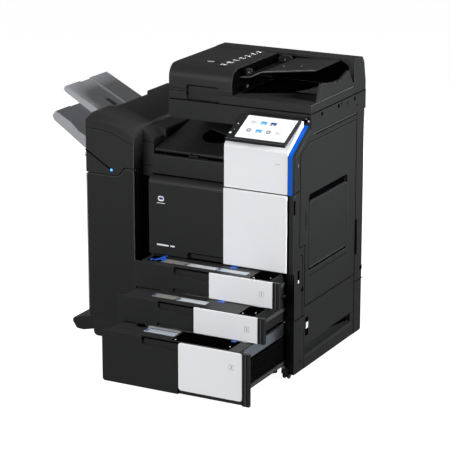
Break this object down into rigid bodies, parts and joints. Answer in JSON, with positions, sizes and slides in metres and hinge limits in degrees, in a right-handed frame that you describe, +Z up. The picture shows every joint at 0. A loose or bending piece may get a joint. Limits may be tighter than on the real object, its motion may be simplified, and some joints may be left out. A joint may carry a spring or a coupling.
{
  "type": "photocopier",
  "caption": "Floor-standing office copier with a document feeder, tilting touch panel, stepped open paper drawers and a side finisher with exit trays.",
  "frame": {"origin": "middle of the footprint, on the floor, with the drawers as they stand at rest", "axes": "+X to the machine's right, +Y to its back, +Z up; the operator stands at -Y"},
  "size_m": [1.1361, 0.995, 1.146],
  "materials": {
    "black_cover": "satin charcoal moulding with a fine grain",
    "dark_inner": "matt black moulding",
    "white_cover": "satin white moulding",
    "blue_strip": "glossy blue",
    "blue_touch": "satin blue touch point",
    "grey_tray": "satin mid grey",
    "steel": "zinc plated sheet",
    "screen": "glossy lit touch screen",
    "glass": "clear plate glass",
    "toner": "blow moulded bottle",
    "rubber": "black rubber"
  },
  "bodies": {
    "machine": {"base_plate": "steel", "bay_rim": "black_cover", "blue_strip": "blue_strip", "booklet_tray": "grey_tray", "finisher_body": "black_cover", "left_side_cover": "black_cover", "levelling_foot_left": "dark_inner", "levelling_foot_right": "dark_inner", "platen_glass": "glass", "power_inlet": "dark_inner", "rear_cover": "black_cover", "relay_deck": "black_cover", "relay_unit": "black_cover", "right_front_cover": "black_cover", "right_inner_frame": "steel", "scanner_housing": "black_cover", "shelf_lower": "steel", "shelf_middle": "steel", "transfer_unit": "dark_inner", "upper_frame": "dark_inner", "upper_white_cover": "white_cover"},
    "drawer_1": {"drawer_1_tray": "black_cover", "drawer_1_white_panel": "white_cover"},
    "drawer_1_guide": {"drawer_1_guide": "blue_touch"},
    "drawer_2": {"drawer_2_tray": "black_cover", "drawer_2_white_panel": "white_cover"},
    "drawer_3": {"drawer_3_tray": "black_cover", "drawer_3_white_panel": "white_cover"},
    "front_door": {"front_door": "black_cover", "front_white_panel": "white_cover"},
    "right_door": {"right_door": "black_cover"},
    "bypass_tray": {"bypass_tray": "black_cover"},
    "lower_right_door": {"lower_right_door": "black_cover"},
    "feeder": {"feeder_base": "black_cover"},
    "feeder_cover": {"feeder_cover": "black_cover"},
    "document_tray": {"document_tray": "black_cover"},
    "guide_front": {"guide_front": "dark_inner"},
    "guide_rear": {"guide_rear": "dark_inner"},
    "pickup_roller": {"pickup_roller": "rubber"},
    "control_panel": {"panel_housing": "dark_inner", "panel_screen": "screen"},
    "power_key": {"power_key": "white_cover"},
    "scan_carriage": {"scan_carriage": "dark_inner"},
    "toner_bottle_1": {"toner_bottle_1": "toner"},
    "toner_bottle_2": {"toner_bottle_2": "toner"},
    "toner_bottle_3": {"toner_bottle_3": "toner"},
    "toner_bottle_4": {"toner_bottle_4": "toner"},
    "heat_roller": {"heat_roller": "steel"},
    "pressure_roller": {"pressure_roller": "rubber"},
    "finisher_front_door": {"finisher_front_door": "black_cover"},
    "upper_exit_tray": {"upper_exit_tray": "grey_tray"},
    "lower_exit_tray": {"lower_exit_tray": "grey_tray"},
    "front_left_fork": {"front_left_fork": "steel"},
    "front_left_wheels": {"front_left_wheels": "rubber"},
    "front_right_fork": {"front_right_fork": "steel"},
    "front_right_wheels": {"front_right_wheels": "rubber"},
    "rear_left_wheels": {"rear_left_wheels": "rubber"},
    "rear_right_wheels": {"rear_right_wheels": "rubber"},
    "finisher_front_wheels": {"finisher_front_wheels": "rubber"},
    "finisher_rear_wheels": {"finisher_rear_wheels": "rubber"}
  },
  "joints": [
    {"name": "drawer_1_slide", "type": "slide", "parent": "machine", "child": "drawer_1", "axis": [0, -1, 0], "range_m": [-0.114, 0.3]},
    {"name": "drawer_2_slide", "type": "slide", "parent": "machine", "child": "drawer_2", "axis": [0, -1, 0], "range_m": [-0.234, 0.18]},
    {"name": "drawer_3_slide", "type": "slide", "parent": "machine", "child": "drawer_3", "axis": [0, -1, 0], "range_m": [-0.355, 0.08]},
    {"name": "drawer_1_guide_slide", "type": "slide", "parent": "drawer_1", "child": "drawer_1_guide", "axis": [1, 0, 0], "range_m": [0, 0.25]},
    {"name": "front_door_hinge", "type": "hinge", "parent": "machine", "child": "front_door", "pos_m": [0.2535, -0.1405, 0.436], "axis": [1, 0, 0], "range_deg": [0, 80]},
    {"name": "right_door_hinge", "type": "hinge", "parent": "machine", "child": "right_door", "pos_m": [0.5675, 0.413, 0.5], "axis": [0, 0, 1], "range_deg": [0, 85]},
    {"name": "bypass_tray_hinge", "type": "hinge", "parent": "right_door", "child": "bypass_tray", "pos_m": [0.5645, 0.1575, 0.423], "axis": [0, 1, 0], "range_deg": [0, 75]},
    {"name": "lower_right_door_hinge", "type": "hinge", "parent": "machine", "child": "lower_right_door", "pos_m": [0.5675, 0.413, 0.15], "axis": [0, 0, 1], "range_deg": [0, 85]},
    {"name": "feeder_lift", "type": "hinge", "parent": "machine", "child": "feeder", "pos_m": [0.2535, 0.4955, 1.0133], "axis": [-1, 0, 0], "range_deg": [0, 60]},
    {"name": "feeder_cover_hinge", "type": "hinge", "parent": "feeder", "child": "feeder_cover", "pos_m": [-0.0345, 0.1575, 1.046], "axis": [0, -1, 0], "range_deg": [0, 60]},
    {"name": "document_tray_hinge", "type": "hinge", "parent": "feeder", "child": "document_tray", "pos_m": [0.2435, 0.1575, 1.108], "axis": [0, -1, 0], "range_deg": [0, 30]},
    {"name": "guide_front_slide", "type": "slide", "parent": "document_tray", "child": "guide_front", "axis": [0, 1, 0], "range_m": [0, 0.12]},
    {"name": "guide_rear_slide", "type": "slide", "parent": "document_tray", "child": "guide_rear", "axis": [0, 1, 0], "range_m": [-0.12, 0]},
    {"name": "pickup_roller_spin", "type": "hinge", "parent": "feeder", "child": "pickup_roller", "pos_m": [0.1815, 0.1225, 1.1], "axis": [0, 1, 0], "continuous": true},
    {"name": "panel_tilt", "type": "hinge", "parent": "machine", "child": "control_panel", "pos_m": [0.4205, -0.0425, 0.976], "axis": [1, 0, 0], "range_deg": [-12, 4]},
    {"name": "power_key_press", "type": "slide", "parent": "control_panel", "child": "power_key", "axis": [0, 0.4369, -0.8995], "range_m": [0, 0.0012], "stiffness_N_per_m": 400, "springref_m": -0.0004},
    {"name": "scan_carriage_slide", "type": "slide", "parent": "machine", "child": "scan_carriage", "axis": [1, 0, 0], "range_m": [0, 0.48]},
    {"name": "toner_bottle_1_spin", "type": "hinge", "parent": "machine", "child": "toner_bottle_1", "pos_m": [0.0335, -0.0825, 0.695], "axis": [0, 1, 0], "continuous": true},
    {"name": "toner_bottle_2_spin", "type": "hinge", "parent": "machine", "child": "toner_bottle_2", "pos_m": [0.1255, -0.0825, 0.695], "axis": [0, 1, 0], "continuous": true},
    {"name": "toner_bottle_3_spin", "type": "hinge", "parent": "machine", "child": "toner_bottle_3", "pos_m": [0.2175, -0.0825, 0.695], "axis": [0, 1, 0], "continuous": true},
    {"name": "toner_bottle_4_spin", "type": "hinge", "parent": "machine", "child": "toner_bottle_4", "pos_m": [0.3095, -0.0825, 0.695], "axis": [0, 1, 0], "continuous": true},
    {"name": "heat_roller_spin", "type": "hinge", "parent": "machine", "child": "heat_roller", "pos_m": [0.4679, -0.0825, 0.65], "axis": [0, 1, 0], "continuous": true},
    {"name": "pressure_roller_spin", "type": "hinge", "parent": "machine", "child": "pressure_roller", "pos_m": [0.5055, -0.0825, 0.65], "axis": [0, 1, 0], "continuous": true},
    {"name": "finisher_door_hinge", "type": "hinge", "parent": "machine", "child": "finisher_front_door", "pos_m": [-0.3195, -0.1415, 0.131], "axis": [0, 0, -1], "range_deg": [0, 95]},
    {"name": "upper_exit_tray_lift", "type": "slide", "parent": "machine", "child": "upper_exit_tray", "axis": [0, 0, 1], "range_m": [-0.06, 0.03]},
    {"name": "lower_exit_tray_lift", "type": "slide", "parent": "machine", "child": "lower_exit_tray", "axis": [0, 0, 1], "range_m": [-0.45, 0.02]},
    {"name": "front_left_swivel", "type": "hinge", "parent": "machine", "child": "front_left_fork", "pos_m": [-0.0005, -0.0975, 0.048], "axis": [0, 0, 1], "continuous": true},
    {"name": "front_left_wheel_roll", "type": "hinge", "parent": "front_left_fork", "child": "front_left_wheels", "pos_m": [-0.0005, -0.0895, 0.0145], "axis": [1, 0, 0], "continuous": true},
    {"name": "front_right_swivel", "type": "hinge", "parent": "machine", "child": "front_right_fork", "pos_m": [0.5215, -0.0975, 0.048], "axis": [0, 0, 1], "continuous": true},
    {"name": "front_right_wheel_roll", "type": "hinge", "parent": "front_right_fork", "child": "front_right_wheels", "pos_m": [0.5215, -0.0895, 0.0145], "axis": [1, 0, 0], "continuous": true},
    {"name": "rear_left_wheel_roll", "type": "hinge", "parent": "machine", "child": "rear_left_wheels", "pos_m": [0.0135, 0.4475, 0.014], "axis": [1, 0, 0], "continuous": true},
    {"name": "rear_right_wheel_roll", "type": "hinge", "parent": "machine", "child": "rear_right_wheels", "pos_m": [0.4785, 0.4475, 0.014], "axis": [1, 0, 0], "continuous": true},
    {"name": "finisher_front_wheel_roll", "type": "hinge", "parent": "machine", "child": "finisher_front_wheels", "pos_m": [-0.2515, -0.0675, 0.0145], "axis": [1, 0, 0], "continuous": true},
    {"name": "finisher_rear_wheel_roll", "type": "hinge", "parent": "machine", "child": "finisher_rear_wheels", "pos_m": [-0.2515, 0.4175, 0.0145], "axis": [1, 0, 0], "continuous": true}
  ],
  "couplings": [
    {"joint": "guide_rear_slide", "follows": "guide_front_slide", "ratio": -1},
    {"joint": "pressure_roller_spin", "follows": "heat_roller_spin", "ratio": -1}
  ]
}
